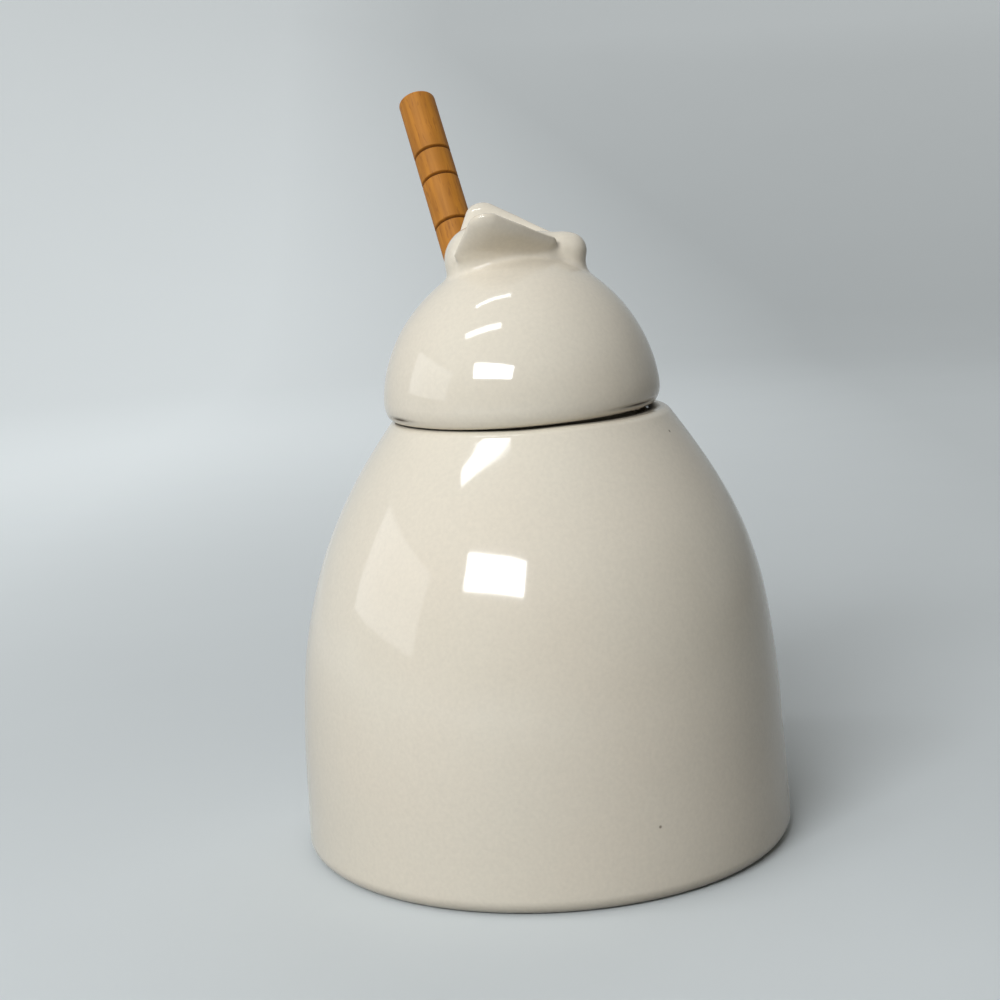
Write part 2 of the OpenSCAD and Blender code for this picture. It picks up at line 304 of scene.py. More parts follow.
def closes_inside_out(points, quads, tris):
    """True if the volume closed by the faces, the sum of a.(b x c)/6 over triangles, is negative."""
    t = np.concatenate([quads[:, [0, 1, 2]], quads[:, [0, 2, 3]], tris])
    a, b, c = points[t[:, 0]], points[t[:, 1]], points[t[:, 2]]
    return float(np.einsum("ij,ij->i", a, np.cross(b, c)).sum()) < 0


def put_mesh(name, points, quads, tris, finish, normals=None, bare_and_shade=None):
    """A smooth piece from points and faces, turned to face outwards. The test on the faces' centres, if
    given, picks the faces that get the second finish."""
    if closes_inside_out(points, quads, tris):
        quads, tris = quads[:, ::-1], tris[:, ::-1]
    mesh = bpy.data.meshes.new(name)
    corners = np.concatenate([quads.ravel(), tris.ravel()]).astype(np.int32)
    sizes = np.r_[np.full(len(quads), 4), np.full(len(tris), 3)]
    mesh.vertices.add(len(points))
    mesh.vertices.foreach_set("co", points.astype(np.float32).ravel())
    mesh.loops.add(len(corners))
    mesh.loops.foreach_set("vertex_index", corners)
    mesh.polygons.add(len(sizes))
    mesh.polygons.foreach_set("loop_start", np.r_[0, np.cumsum(sizes)[:-1]].astype(np.int32))
    mesh.polygons.foreach_set("use_smooth", np.ones(len(sizes), bool))
    mesh.update(calc_edges=True)
    mesh.validate()
    for material in finish:
        mesh.materials.append(material)
    if bare_and_shade is not None:
        centres = np.zeros(len(sizes) * 3, np.float32)
        mesh.polygons.foreach_get("center", centres)
        mesh.polygons.foreach_set("material_index", bare_and_shade(centres.reshape(-1, 3)).astype(np.int32))
    if normals is not None:
        mesh.normals_split_custom_set_from_vertices(normals.tolist())
    piece = bpy.data.objects.new(name, mesh)
    bpy.context.scene.collection.objects.link(piece)
    return piece


def set_layer(piece, name, values):
    """A number at each vertex, which the materials read by its name."""
    layer = piece.data.attributes.new(name, "FLOAT", "POINT")
    layer.data.foreach_set("value", np.asarray(values, np.float32))


def edge_bend(piece):
    """How much the surface bends outwards at each vertex, in 1/m: the mean over its edges of
    (n2 - n1).(p2 - p1) / |p2 - p1|^2, from the vertices' normals n and places p."""
    mesh = piece.data
    p = np.zeros(len(mesh.vertices) * 3, np.float32)
    n = np.zeros_like(p)
    e = np.zeros(len(mesh.edges) * 2, np.int32)
    mesh.vertices.foreach_get("co", p)
    mesh.vertex_normals.foreach_get("vector", n)
    mesh.edges.foreach_get("vertices", e)
    p, n, e = p.reshape(-1, 3), n.reshape(-1, 3), e.reshape(-1, 2)
    dp = p[e[:, 1]] - p[e[:, 0]]
    dn = n[e[:, 1]] - n[e[:, 0]]
    bend = (dn * dp).sum(1) / np.maximum((dp * dp).sum(1), 1e-12)
    total = np.bincount(e.ravel(), np.repeat(bend, 2), len(p))
    return total / np.maximum(np.bincount(e.ravel(), minlength=len(p)), 1)


def turn_profile(profile, steps=ROUND_STEPS):
    """A profile carried round the Z axis: x = r cos(a), y = r sin(a). A point on the axis is one
    vertex, and the last column is the first again. Gives points, faces and each vertex's row."""
    a = np.arange(steps) * 2 * math.pi / steps
    on_axis = profile[:, 0] < 1e-7
    rows = np.where(on_axis, 1, steps)
    first = np.r_[0, np.cumsum(rows)[:-1]]
    index = first[:, None] + np.where(on_axis[:, None], 0, np.arange(steps)[None, :])
    row_of = np.repeat(np.arange(len(profile)), rows)
    turn = np.concatenate([np.zeros(1) if alone else a for alone in on_axis])
    r, z = profile[row_of].T
    points = polar(r, turn, z)
    quads, tris = grid_faces(np.hstack([index, index[:, :1]]))
    return points, quads, tris, row_of


# ---- The pot ----

FOOT_SOFT = 1.5 * MM, 0.8 * MM    # Rounding of the foot's hollow and of the ring's inner edge
SKIN_W = 1.5 * MM                 # What lies nearer than this to the outside is the outside wall
WAVE_H = 22 * MM                  # Scale of the slow waves up the wall
BELLY_IN = 6 * MM, 24 * MM        # Heights between which the belly's bulge comes,
BELLY_OUT = 38 * MM, 54 * MM      # and goes
SHOULDER = 46 * MM, 70 * MM       # Heights between which the shoulder's bulge comes
SAG = 76 * MM, 87 * MM            # Heights between which the rim's sag comes


def pot_wall(pot, z):
    """Outside of the pot: (foot radius - draft z) times e^-(z / shoulder)^power."""
    return (pot.base_r - pot.draft * z) * np.exp(-(z / pot.shoulder_z) ** pot.shoulder_pow)


def pot_profile(pot):
    """The pot's closed section from under its foot, up the wall, over the rim and down to its floor,
    and the height share of each point on the outside wall, which is 0 elsewhere."""
    top = POT_TOP
    curve = lambda z: np.stack([pot_wall(pot, z), z], -1)
    corner = (pot_wall(pot, pot.foot_round) - pot.foot_round, pot.foot_round)
    ring_in = corner[0] + pot.foot_round - pot.foot_ring_w
    foot = rounded([(0, pot.foot_hollow), (ring_in - 2 * pot.foot_hollow, pot.foot_hollow),
                    (ring_in, 0), corner - np.array([0, pot.foot_round])], FOOT_SOFT)
    crown_z, turn = top, 0.0
    for _ in range(6):       # The rim's rounding starts where it touches the wall
        crown_z = top - pot.rim_edge_r * (1 - math.sin(turn))
        lean = curve(crown_z) - curve(crown_z - 0.1 * MM)
        turn = math.atan2(-lean[0], lean[1])
    out = curve(np.linspace(pot.foot_round, crown_z, 96))
    rim_centre = out[-1] - pot.rim_edge_r * np.array([math.cos(turn), math.sin(turn)])
    mouth_r = pot_wall(pot, top) - pot.rim_w
    in_z = pot.floor + pot.inner_round
    inner = inward(curve, np.linspace(top - pot.lip_r, in_z, 60), pot.wall)
    inner[:, 0] = np.maximum(inner[:, 0], mouth_r)
    profile = joined(
        foot,
        arc(corner, pot.foot_round, -90, 0, 14),
        out,
        arc(rim_centre, pot.rim_edge_r, math.degrees(turn), 90, 16),
        arc((mouth_r + pot.lip_r, top - pot.lip_r), pot.lip_r, 90, 180, 10),
        inner,
        arc((inner[-1][0] - pot.inner_round, in_z), pot.inner_round, 0, -90, 14),
        [(0, pot.floor)])
    widest = np.minimum(pot_wall(pot, profile[:, 1]), mouth_r + pot.rim_w)
    share = np.where(profile[:, 0] > widest - SKIN_W, np.clip(profile[:, 1] / top, 0, 1), 0)
    return profile, share


def wavy_wall(points, share, pot):
    """The unevenness of a cast wall. It falls in by up to uneven, by the product and the sum of slow
    waves round the pot and up it, and not at all at the foot and at the rim. Toward the front, by
    ((1 + cos(a)) / 2)^2, the shoulder stands out and the belly falls in, and the back stands out.
    The rim sinks at the back, by an easing of cos(a)."""
    around, radius, z = about_axis(points)
    up = z / WAVE_H
    wave = np.sin(3 * around + 1.1 * up) * np.cos(up + 0.7) + 0.6 * np.sin(5 * around - 0.8 * up + 2)
    fade = np.sin(math.pi * share) ** 0.7
    front = ((1 + np.cos(around)) / 2) ** 2
    back = ((1 - np.cos(around)) / 2) ** 2
    belly = ease(z, *BELLY_IN) * (1 - ease(z, *BELLY_OUT))
    grow = front * (pot.shoulder_out * ease(z, *SHOULDER) - pot.belly_in * belly)
    grow += back * pot.heel_out * belly - pot.uneven * fade * (0.5 + wave / 3.2)
    sink = pot.rim_low * (1 - ease(np.cos(around), -0.15, 0.35)) * ease(z, *SAG)
    return moved(points, grow * (share > 0) / np.maximum(radius, MM), -sink)


# ---- The lid ----

def lid_base_z(lid):
    """Height of the lid's lower edge in the frame."""
    return LID_HIGH.z - lid.edge_h - lid.dome_h


def dome_curve(lid, a):
    """Outside of the dome by an angle in degrees, 0 at the widest circle and 90 at the top:
    radius cos(a), and a height of dome_h sin(a)^(2 / fullness)."""
    a = np.radians(a)
    rise = np.maximum(np.sin(a), 0) ** (2 / lid.dome_pow)
    return np.stack([LID_R * np.cos(a), lid.edge_h + lid.dome_h * rise], -1)


def dome_r(lid, z):
    """Radius of the dome's outside at a height over the lower edge."""
    t = np.clip((z - lid.edge_h) / lid.dome_h, 0, 1)
    return LID_R * np.sqrt(1 - t ** lid.dome_pow)


def notch_place(lid, dipper):
    """Where the dipper's line meets the middle of the lid's wall: the angle round the lid's axis,
    and the height of the notch's centre over the lower edge, its half width included."""
    ball, way = dipper_ball(dipper), DIPPER_WAY
    flat = Vector((way.x, way.y)) / math.hypot(way.x, way.y)
    start = Vector((ball.x - LID_AXIS_X, ball.y))
    along = start.dot(flat)
    beside = (start - along * flat).length
    run = math.sqrt((LID_R - lid.wall / 2) ** 2 - beside ** 2) - along
    at = start + run * flat
    tilt = math.acos(way.z)
    handle_r = dipper.handle_d / 2
    half = handle_r + lid.notch_play
    top = ball.z + run / math.tan(tilt) + (handle_r + lid.notch_head) / math.sin(tilt)
    top -= lid_base_z(lid)
    return math.atan2(at.y, at.x), top - half, half


def lid_rows(lid, pot, centre_z, half):
    """The lid's section as two runs of points with as many rows each, from the top of the dome down
    to the lowest circle of the collar: the outside, with the edge and the ledge, and the inside.
    Rows crowd where the notch's round top cuts them, at centre_z + half sin(t)."""
    reach = half + lid.notch_soft
    top_z = centre_z + reach
    top_a = math.degrees(math.asin(((top_z - lid.edge_h) / lid.dome_h) ** (lid.dome_pow / 2)))
    collar_r = pot_wall(pot, POT_TOP) - pot.rim_w - lid.collar_play
    collar_in = collar_r - lid.collar_w
    low_r = lid.collar_w / 2
    low_z = low_r - lid.collar_h
    low = ((collar_r + collar_in) / 2, low_z)

    arch = centre_z + reach * np.sin(np.radians(np.linspace(90, 0, 25)))[1:]
    side = np.r_[arch, np.linspace(centre_z, lid.edge_h, 16)[1:]]
    tuck = np.radians(np.linspace(90, 0, 31))[1:]
    edge = np.stack([LID_R - lid.edge_in + lid.edge_in * np.sin(tuck),
                     lid.edge_h * (1 - np.cos(tuck))], 1)
    ledge = rounded([edge[-1], (edge[-1][0] - 0.4 * MM, -0.05 * MM), (collar_r, 0),
                     (collar_r, -2 * MM)], [0.3 * MM, 0.6 * MM], 4)[1:]
    down = np.stack([np.full(6, collar_r), np.linspace(-2.4 * MM, low_z, 6)], 1)
    caps = np.linspace(90, top_a, 46)
    outside = np.concatenate([dome_curve(lid, caps), np.stack([dome_r(lid, side), side], 1),
                              edge, ledge, down, arc(low, low_r, 0, -90, 7)[1:]])

    under = lambda a: inward(lambda b: dome_curve(lid, b), a, lid.wall, 0.01)
    hollow = np.concatenate([under(np.linspace(90 - 1e-4, 5.6, 400)),
                             [(collar_in, 0), (collar_in, -lid.collar_h)]])
    cap_z = under(np.linspace(90 - 1e-4, top_a, 46))[:, 1]
    cap_z = np.linspace(0, top_z - cap_z[-1], 46) + cap_z
    rest = np.linspace(lid.edge_h, low_z, len(edge) + len(ledge) + len(down) + 1)[1:]
    z = np.r_[cap_z, side, rest]
    inside = np.stack([np.interp(-z, -hollow[:, 1], hollow[:, 0]), z], 1)
    inside[0, 0] = 0
    inside = np.concatenate([inside, arc(low, low_r, 180, 270, 7)[1:]])
    return outside, inside, len(caps) - 1, len(caps) + len(arch) - 1


def lid_surface(lid, pot, dipper):
    """The lid: its section carried round from one side of the notch to the other, and a band across
    the wall round the notch. A row at height z starts and ends where the notch's outline, straight
    below and a half circle above, lies at asin(half width / radius) beside the notch's middle. The
    band runs level from the outside to the inside and bulges into the notch by a quarter circle at
    each end, so the edges are round. Rows above the notch close on themselves."""
    way, centre_z, half = notch_place(lid, dipper)
    outside, inside, apex, arch_end = lid_rows(lid, pot, centre_z, half)
    n = len(outside)
    section = np.concatenate([outside, inside[-2::-1]])
    gap = np.linalg.norm(outside - inside, axis=1)
    soft = np.minimum(lid.notch_soft, gap / 2)
    level = outside[:, 1] - centre_z
    wide = np.where(np.arange(n) <= arch_end,
                    np.sqrt(np.maximum((half + lid.notch_soft) ** 2 - level ** 2, 0)), half + soft)
    wide[:apex + 1] = 0
    wide = np.concatenate([wide, wide[-2::-1]])
    r, z = section.T
    on_axis = r < 1e-7
    open_at = np.arcsin(np.clip(wide / np.maximum(r, 1e-9), 0, 1))

    share = np.linspace(0, 1, ROUND_STEPS + 1)
    turn = way + open_at[:, None] + (2 * math.pi - 2 * open_at[:, None]) * share
    points = polar(r[:, None], turn, z[:, None])
    index = np.arange(points.shape[0] * points.shape[1]).reshape(points.shape[:2])
    index[on_axis] = index[on_axis][:, :1]
    closed = (wide == 0)
    index[closed, -1] = index[closed, 0]

    rows = np.r_[np.arange(n - 1, apex, -1), np.arange(apex, n)]
    side = np.r_[np.full(n - 1 - apex, ROUND_STEPS), np.zeros(n - apex, int)]
    outer, inner = points[rows, side], points[2 * n - 2 - rows, side]
    outer_id, inner_id = index[rows, side], index[2 * n - 2 - rows, side]
    middle = np.array([math.cos(way), math.sin(way), 0])
    across = np.array([-math.sin(way), math.cos(way), 0])
    from_centre = np.stack([outer @ across, np.maximum(outer[:, 2] - centre_z, 0)], 1)
    from_centre /= np.maximum(np.linalg.norm(from_centre, axis=1, keepdims=True), 1e-9)
    into = -(from_centre[:, :1] * across + from_centre[:, 1:] * np.array([0, 0, 1.0]))
    span = np.linalg.norm(inner - outer, axis=1)[:, None]
    e = np.minimum(lid.notch_soft, span / 2)
    bow = np.radians(np.linspace(0, 90, 6))[None, 1:]
    rise, lift = e * (1 - np.cos(bow)), e * np.sin(bow)
    flat = np.linspace(0, 1, 6)[None, 1:-1]
    reach = np.concatenate([rise, e + (span - 2 * e) * flat, span - rise[:, ::-1]], 1)
    bulge = np.concatenate([lift, e + 0 * flat, lift[:, ::-1]], 1)
    step = (inner - outer) / np.maximum(span, 1e-9)
    band = outer[:, None] + step[:, None] * reach[..., None] + into[:, None] * bulge[..., None]
    held = span[:, 0] > 1e-6
    band_id = points.size // 3 + np.arange(band.shape[0] * band.shape[1]).reshape(band.shape[:2])
    band_id[~held] = outer_id[~held, None]
    quads, tris = grid_faces(index)
    band_quads, band_tris = grid_faces(
        np.hstack([outer_id[:, None], band_id, inner_id[:, None]])[:, ::-1])
    points = np.concatenate([points.reshape(-1, 3), band.reshape(-1, 3)])
    quads = np.concatenate([quads, band_quads])
    tris = np.concatenate([tris, band_tris])
    return drop_unused(points, quads, tris)


def drop_unused(points, quads, tris):
    """The same faces on only those points that they use."""
    used = np.unique(np.concatenate([quads.ravel(), tris.ravel()]))
    new = np.zeros(len(points), np.int64)
    new[used] = np.arange(len(used))
    return points[used], new[quads], new[tris]


DRIPS = ((-30.4, 0.42 * MM), (-34.8, 0.3 * MM))    # Drips of glaze: degrees round the lid, and length
DRIP_R = 0.5 * MM
CREASES = ((-34, 14), (-152, 8))    # Creases above the edge: degrees round the lid, and spread
CREASE_Z, CREASE_H = 1.2 * MM, 0.35 * MM
# Painted shade: the band between these limits, under the lid's lower edge, takes the dark shade colour
# for the gap.
WIPED_SHADE_TOP, WIPED_SHADE_LOW = 0.1 * MM, -1.2 * MM         # Heights between which glaze was wiped off
WIPED_SHADE_OUT, WIPED_SHADE_IN = 0.2 * MM, -3 * MM            # The same, from the radius of the lower edge


def warp_lid_edge(points, lid):
    """The fired lid's warp. The lower edge and the collar stand up at the front and sink at the back,
    by an easing of cos(a), fading out up the dome, and two small drips of glaze hang from the edge.
    The back of the dome stands out by back_out times an easing of -cos(a), and a crease, a bell curve
    of the height, runs above the edge round the two places in CREASES. Gives the points, and how much
    of the dark shade colour each takes: in the creases, where it is painted shade with some bare clay,
    and under the edge where the glaze was wiped off, where it is painted shade for the gap."""
    around, radius, z = about_axis(points)
    low = 1 - ease(z, 0, 2.4 * lid.edge_h)
    rise = ((lid.edge_lift + lid.edge_sag) * ease(np.cos(around), -0.6, 1.1) - lid.edge_sag) * low
    edge_r = LID_R - lid.edge_in
    for place, drop in DRIPS:
        away = ((around - math.radians(place)) * edge_r) ** 2 + (radius - edge_r + 0.2 * MM) ** 2
        rise -= drop * np.exp(-away / DRIP_R ** 2) * (z < MM)
    grow = lid.back_out * ease(-np.cos(around), 0, 1) * (1 - ease(z, 0.55 * lid.dome_h, lid.dome_h))
    # The creases take the dark shade colour: painted shade, partly clay showing.
    crease = np.zeros_like(z)
    for place, spread in CREASES:
        near = np.exp(-((around - math.radians(place)) / math.radians(spread)) ** 2)
        crease += near * np.exp(-((z - CREASE_Z) / CREASE_H) ** 2) * (radius > edge_r)
    out = radius - edge_r
    # Painted shade: under the lower edge, where the lid sits, the gap's shade is painted with the dark
    # colour.
    wiped_and_shaded = (z < WIPED_SHADE_TOP) & (z > WIPED_SHADE_LOW) & (out < WIPED_SHADE_OUT) & (out > WIPED_SHADE_IN)
    grow = (grow - lid.crease * crease) / np.maximum(radius, MM)
    return moved(points, grow, rise), np.maximum(crease, wiped_and_shaded)


# ---- Smooth distances for the bee ----

def merged(a, b, width):
    """The smaller of two distances, with the crease between them filled: where they differ by less
    than width, the result is lower by width h^3 / 6 with h = 1 - |a - b| / width."""
    h = np.maximum(width - np.abs(a - b), 0) / width
    return np.minimum(a, b) - h ** 3 * width / 6


def ball(p, centre, r):
    """Distance to a ball."""
    return np.linalg.norm(p - np.array(centre), axis=-1) - r


def rod(p, start, end, r):
    """Distance to a rod with round ends: the distance to the nearest point of its line, less r."""
    a, d = np.array(start), np.array(end) - np.array(start)
    t = np.clip(((p - a) @ d) / (d @ d), 0, 1)
    return np.linalg.norm(p - a - t[..., None] * d, axis=-1) - r


def egg(p, centre, r, front):
    """Near distance to an egg along X, a ball behind its centre and drawn out to front before it:
    k0 (k0 - 1) / k1, with k0 and k1 the lengths of p over the half axes and over their squares."""
    q = p - np.array(centre)
    axes = np.full(q.shape, r)
    axes[..., 0] = np.where(q[..., 0] > 0, front, r)
    k0 = np.linalg.norm(q / axes, axis=-1)
    k1 = np.linalg.norm(q / axes ** 2, axis=-1)
    return k0 * (k0 - 1) / np.maximum(k1, 1e-9)


def dome_distance(p, lid, bee):
    """Near distance to the dome's outside: (r / R)^2 + (height / H)^fullness - 1, over the length of
    its slope. p is in the bee's frame, whose origin lies on the lid's axis."""
    up = np.maximum((p[..., 2] - bee.sink + lid.dome_h) / lid.dome_h, 1e-3)
    radius = np.hypot(p[..., 0], p[..., 1])
    value = (radius / LID_R) ** 2 + up ** lid.dome_pow - 1
    slope = np.hypot(2 * radius / LID_R ** 2, lid.dome_pow * up ** (lid.dome_pow - 1) / lid.dome_h)
    return value / slope


def turned(p, angle, i, j):
    """Points seen from a frame that is turned by an angle from axis i toward axis j."""
    c, s = math.cos(angle), math.sin(angle)
    q = p.copy()
    q[..., i] = p[..., i] * c + p[..., j] * s
    q[..., j] = p[..., j] * c - p[..., i] * s
    return q


def as_set_down(p, bee):
    """Points seen from the bee, which sits a little turned and tipped on the dome."""
    return turned(turned(p, bee.turn, 0, 1), bee.tip, 1, 2)


def bee_body(p, bee):
    """The bee without its wings: abdomen, thorax, neck, head and chin, run together softly."""
    p = as_set_down(p, bee)
    chin_r = bee.head_r - bee.chin_in
    head = (bee.head_x, 0, bee.head_z)
    neck_z = bee.head_z + 0.15 * MM
    soft = 1.6 * MM
    body = egg(p, (-bee.abdomen_back, 0, 0), bee.abdomen_r, bee.abdomen_front)
    body = merged(body, ball(p, (bee.thorax_x, 0, 0), bee.thorax_r), soft)
    body = merged(body, rod(p, (bee.thorax_x, 0, neck_z), (bee.neck_x, 0, neck_z), bee.neck_r), soft)
    body = merged(body, ball(p, head, bee.head_r), 0.8 * MM)
    return merged(body, rod(p, head, (bee.head_x, 0, -bee.head_r), chin_r), 0.8 * MM)


def hull_of_discs(q, centres, radii):
    """Distance in a plane to the outline round a ring of discs, given anticlockwise. It is the
    largest of the distances to the lines that touch neighbouring discs, and where q lies between
    the normals of a disc's two lines, the distance to that disc if it is larger."""
    c, r = np.array(centres), np.array(radii)
    d = np.roll(c, -1, axis=0) - c
    gap = np.linalg.norm(d, axis=1)
    e = d / gap[:, None]
    sine = (r - np.roll(r, -1)) / gap
    out = np.stack([e[:, 1], -e[:, 0]], 1)
    normal = sine[:, None] * e + np.sqrt(1 - sine ** 2)[:, None] * out
    far = np.full(q.shape[:-1], -1.0)
    for i in range(len(c)):
        far = np.maximum(far, (q - c[i]) @ normal[i] - r[i])
    for i in range(len(c)):
        v = q - c[i]
        before, after = normal[i - 1], normal[i]
        between = ((before[0] * v[..., 1] - before[1] * v[..., 0] >= 0)
                   & (v[..., 0] * after[1] - v[..., 1] * after[0] >= 0))
        far = np.where(between, np.maximum(far, np.linalg.norm(v, axis=-1) - r[i]), far)
    return far


def wing(p, bee, side):
    """One wing, side -1 for the bee's right and 1 for its left, in its own plane with X forward from
    the front end and Y up from the root. Its rim is half an ellipse, as deep as puff, or more so at
    the broad end, and with half the thickness for its other half axis. Its middle bows out by
    bow (1/2 - s^2), with s from -1 to 1 along it. The distance is near: k0 (k0 - 1) / k1, as for
    the egg."""
    q = as_set_down(p, bee) * np.array([1, -side, 1])
    q -= np.array([bee.front_x + max(side, 0) * bee.left_ahead, -bee.front_y, bee.root_z])
    q = turned(turned(q, bee.swing, 0, 1), math.pi / 2 + bee.lean, 1, 2)
    t = bee.tip_r
    mid_r = (bee.broad_r + t) / 2
    discs = [(t - bee.root_l, 0), (-t, 0), (-t, t), (-bee.bend_at, bee.bend_w - mid_r),
             (bee.broad_r - bee.wing_l, bee.wing_w - bee.broad_r)]
    flat = hull_of_discs(q[..., :2], discs, [t, t, t, mid_r, bee.broad_r])
    broad = ease(-q[..., 0], t, bee.wing_l - bee.broad_r) * ease(q[..., 1], 0, bee.wing_w - bee.broad_r)
    half = (bee.thin_t + (bee.wing_t - bee.thin_t) * broad) / 2
    along = (q[..., 0] + bee.wing_l / 2) / (bee.wing_l / 2)
    height = q[..., 2] - bee.bow * (0.5 - np.clip(along, -1.2, 1.2) ** 2)
    puff = bee.puff * (1 + 0.6 * ease(-q[..., 0], 0.55 * bee.wing_l, bee.wing_l))
    inside = np.maximum(flat + puff, 0)
    k0 = np.maximum(np.hypot(inside / puff, height / half), 1e-6)
    k1 = np.hypot(inside / puff ** 2, height / half ** 2)
    return k0 * (k0 - 1) / np.maximum(k1, 1e-6)


# ---- From a distance to a surface ----

CORNERS = np.array([(x, y, z) for x in (0, 1) for y in (0, 1) for z in (0, 1)])


def slope_of(distance, p, step=0.02 * MM):
    """The distance's slope at each point, by differences both ways along each axis."""
    shift = np.eye(3) * step
    return np.stack([(distance(p + s) - distance(p - s)) / (2 * step) for s in shift], -1)


def zero_surface(distance, low, high, cell):
    """The surface where a distance is zero, in a box: each cell of a grid whose corners differ in
    sign holds one vertex, at the mean of the zero places on its edges, and each grid edge that
    changes sign gives the quad of the four cells round it. The vertices then slide down the
    distance's slope onto the surface, p - f n / |n|^2, four times."""
    axes = [np.arange(a, b + cell, cell) for a, b in zip(low, high)]
    grid = np.stack(np.meshgrid(*axes, indexing="ij"), -1)
    f = distance(grid)
    nx, ny, nz = (k - 1 for k in f.shape)
    n = [k - 1 for k in f.shape]
    total, count = np.zeros((*n, 3)), np.zeros(n)
    at = [tuple(slice(c, c + k) for c, k in zip(corner, n)) for corner in CORNERS]
    for i in range(8):
        for j in range(i + 1, 8):
            if np.abs(CORNERS[i] - CORNERS[j]).sum() != 1:
                continue
            a, b = f[at[i]], f[at[j]]
            crossed = (a < 0) != (b < 0)
            t = np.where(crossed, a / np.where(crossed, a - b, 1), 0)[..., None]
            total += np.where(crossed[..., None], grid[at[i]] * (1 - t) + grid[at[j]] * t, 0)
            count += crossed
    held = count > 0
    number = np.full(held.shape, -1)
    number[held] = np.arange(held.sum())
    points = total[held] / count[held][:, None]
    quads = []
    for axis in range(3):
        u, v = (axis + 1) % 3, (axis + 2) % 3
        along = np.moveaxis(f, axis, 0)
        crossed = (along[:-1] < 0) != (along[1:] < 0)
        where = np.argwhere(np.moveaxis(crossed, 0, axis))
        inner = [(where[:, k] > 0) & (where[:, k] < held.shape[k]) for k in (u, v)]
        where = where[inner[0] & inner[1]]
        rising = f[tuple(where.T)] < 0
        du, dv = np.eye(3, dtype=int)[u], np.eye(3, dtype=int)[v]
        quad = np.stack([number[tuple((where - s * du - t * dv).T)]
                         for s, t in ((1, 1), (0, 1), (0, 0), (1, 0))], 1)
        quad[~rising] = quad[~rising][:, ::-1]
        quads.append(quad)
    for _ in range(4):
        n = slope_of(distance, points)
        points = points - distance(points)[:, None] * n / np.maximum((n * n).sum(1), 1e-6)[:, None]
    return points, np.concatenate(quads)


SKIN = 0.9 * MM          # How far a part goes on inside what it is set on
DIP = 0.003 * MM         # How far its rim lies below that surface


def applied_part(part, ground, width, slip):
    """A part set on a ground with slip: the two merged, kept only near the part, and closed a little
    way inside the ground. Past the fillet it dips just under the ground's own surface. slip gives the
    fillet's width at each point, at most width. Gives the closed distance and the merged one."""
    full = lambda p: merged(part(p), ground(p), slip(p))
    closed = lambda p: np.maximum(np.maximum(full(p) + DIP, -ground(p) - SKIN), part(p) - width)
    return closed, full


def wing_slip(p, bee):
    """Width of a wing's fillet: full below its middle, and narrow where its ends meet the body."""
    ends = np.maximum(0.5 * ease(p[..., 0], 0, 6 * MM), 0.4 * ease(-p[..., 0], 8 * MM, 12 * MM))
    return bee.wing_fillet * (1 - ends)


def bend_of(distance, p, step=0.35 * MM):
    """How much a distance's surface bends outwards, in 1/m: half the sum of its second differences."""
    shift = np.eye(3) * step
    here = 2 * distance(p)
    return sum(distance(p + s) + distance(p - s) - here for s in shift) / (2 * step ** 2)


# ---- The dipper ----

def dipper_ball(dipper):
    """Centre of the ball that the head ends in: the head's box touches the ball at its low end on the
    sides that the handle leans away from."""
    r = dipper.head_d / 2
    side = [low + r if way > 0 else high - r
            for way, low, high in zip(DIPPER_WAY, HEAD_LOW, HEAD_HIGH)]
    return Vector(side)


def head_outline(dipper, s):
    """Radius of the head at a distance from its tip: a ball, a barrel, and a cosine shoulder."""
    r = dipper.head_d / 2
    end = dipper.core_r + 0.7 * MM
    k = np.clip((s - 2 * r) / (dipper.head_l - 2 * r), 0, 1)
    shoulder = end + (r - end) * (1 + np.cos(math.pi * k)) / 2
    return np.where(s < r, np.sqrt(np.maximum(s * (2 * r - s), 0)), np.where(s < 2 * r, r, shoulder))


def head_profile(dipper):
    """Section of the ribbed head: between grooves it follows the outline, each groove runs in to the
    core, and the edges are rounded. It ends in the socket."""
    pitch = (dipper.head_l - dipper.groove_w) / (GROOVES + 1)
    corners, radii = [(0, 0)], []
    start = 0.0
    for i in range(1, GROOVES + 2):
        end = i * pitch if i <= GROOVES else dipper.head_l
        s = start + (end - start) * (1 - np.cos(np.linspace(0, math.pi, 15))) / 2
        s = s[1:] if i == 1 else s
        corners += list(zip(head_outline(dipper, s), s))
        radii += [0 if i == 1 else dipper.rib_soft] + [0] * (len(s) - 2) + [dipper.rib_soft]
        if i <= GROOVES:
            start = end + dipper.groove_w
            corners += [(dipper.core_r, end), (dipper.core_r, start)]
            radii += [0.3 * MM, 0.3 * MM]
    socket_r = dipper.handle_d / 2 + dipper.glue
    bottom = dipper.head_l - dipper.socket_h - dipper.glue
    corners += [(socket_r, dipper.head_l), (socket_r, bottom), (0, bottom)]
    radii += [0.2 * MM, 0]
    return rounded(corners, radii, 4)


def handle_profile(dipper):
    """Section of the handle from the bottom of its socket to its rounded top end, and for each point
    how deep it lies in a turned line, from 0 to 1. A line is a notch whose depth falls off from its
    middle as (1 + cos)/2 over its width."""
    r, l = dipper.handle_d / 2, dipper.whole_l
    lines = [l - dipper.line_3, l - dipper.line_2, l - dipper.line_1]
    fine = [at + np.linspace(-1, 1, 25) * dipper.line_w * 0.75 for at in lines]
    plain = np.linspace(dipper.head_l - dipper.socket_h, l - dipper.end_r, 70)
    near = np.min([np.abs(plain - at) for at in lines], axis=0) < dipper.line_w * 0.8
    s = np.sort(np.concatenate([plain[~near]] + fine))
    away = np.min([np.abs(s - at) for at in lines], axis=0)
    deep = (1 + np.cos(np.pi * np.clip(away / (0.62 * dipper.line_w), 0, 1))) / 2
    side = np.stack([r - dipper.line_depth * deep, s], 1)
    end = arc((r - dipper.end_r, l - dipper.end_r), dipper.end_r, 0, 90, 8)[1:]
    crown = np.stack([np.linspace(end[-1][0], 0, 8)[1:], np.full(7, l)], 1)
    profile = np.concatenate([[(0, s[0])], side, end, crown])
    return profile, np.concatenate([[0], deep ** 1.5, np.zeros(len(end) + len(crown))])


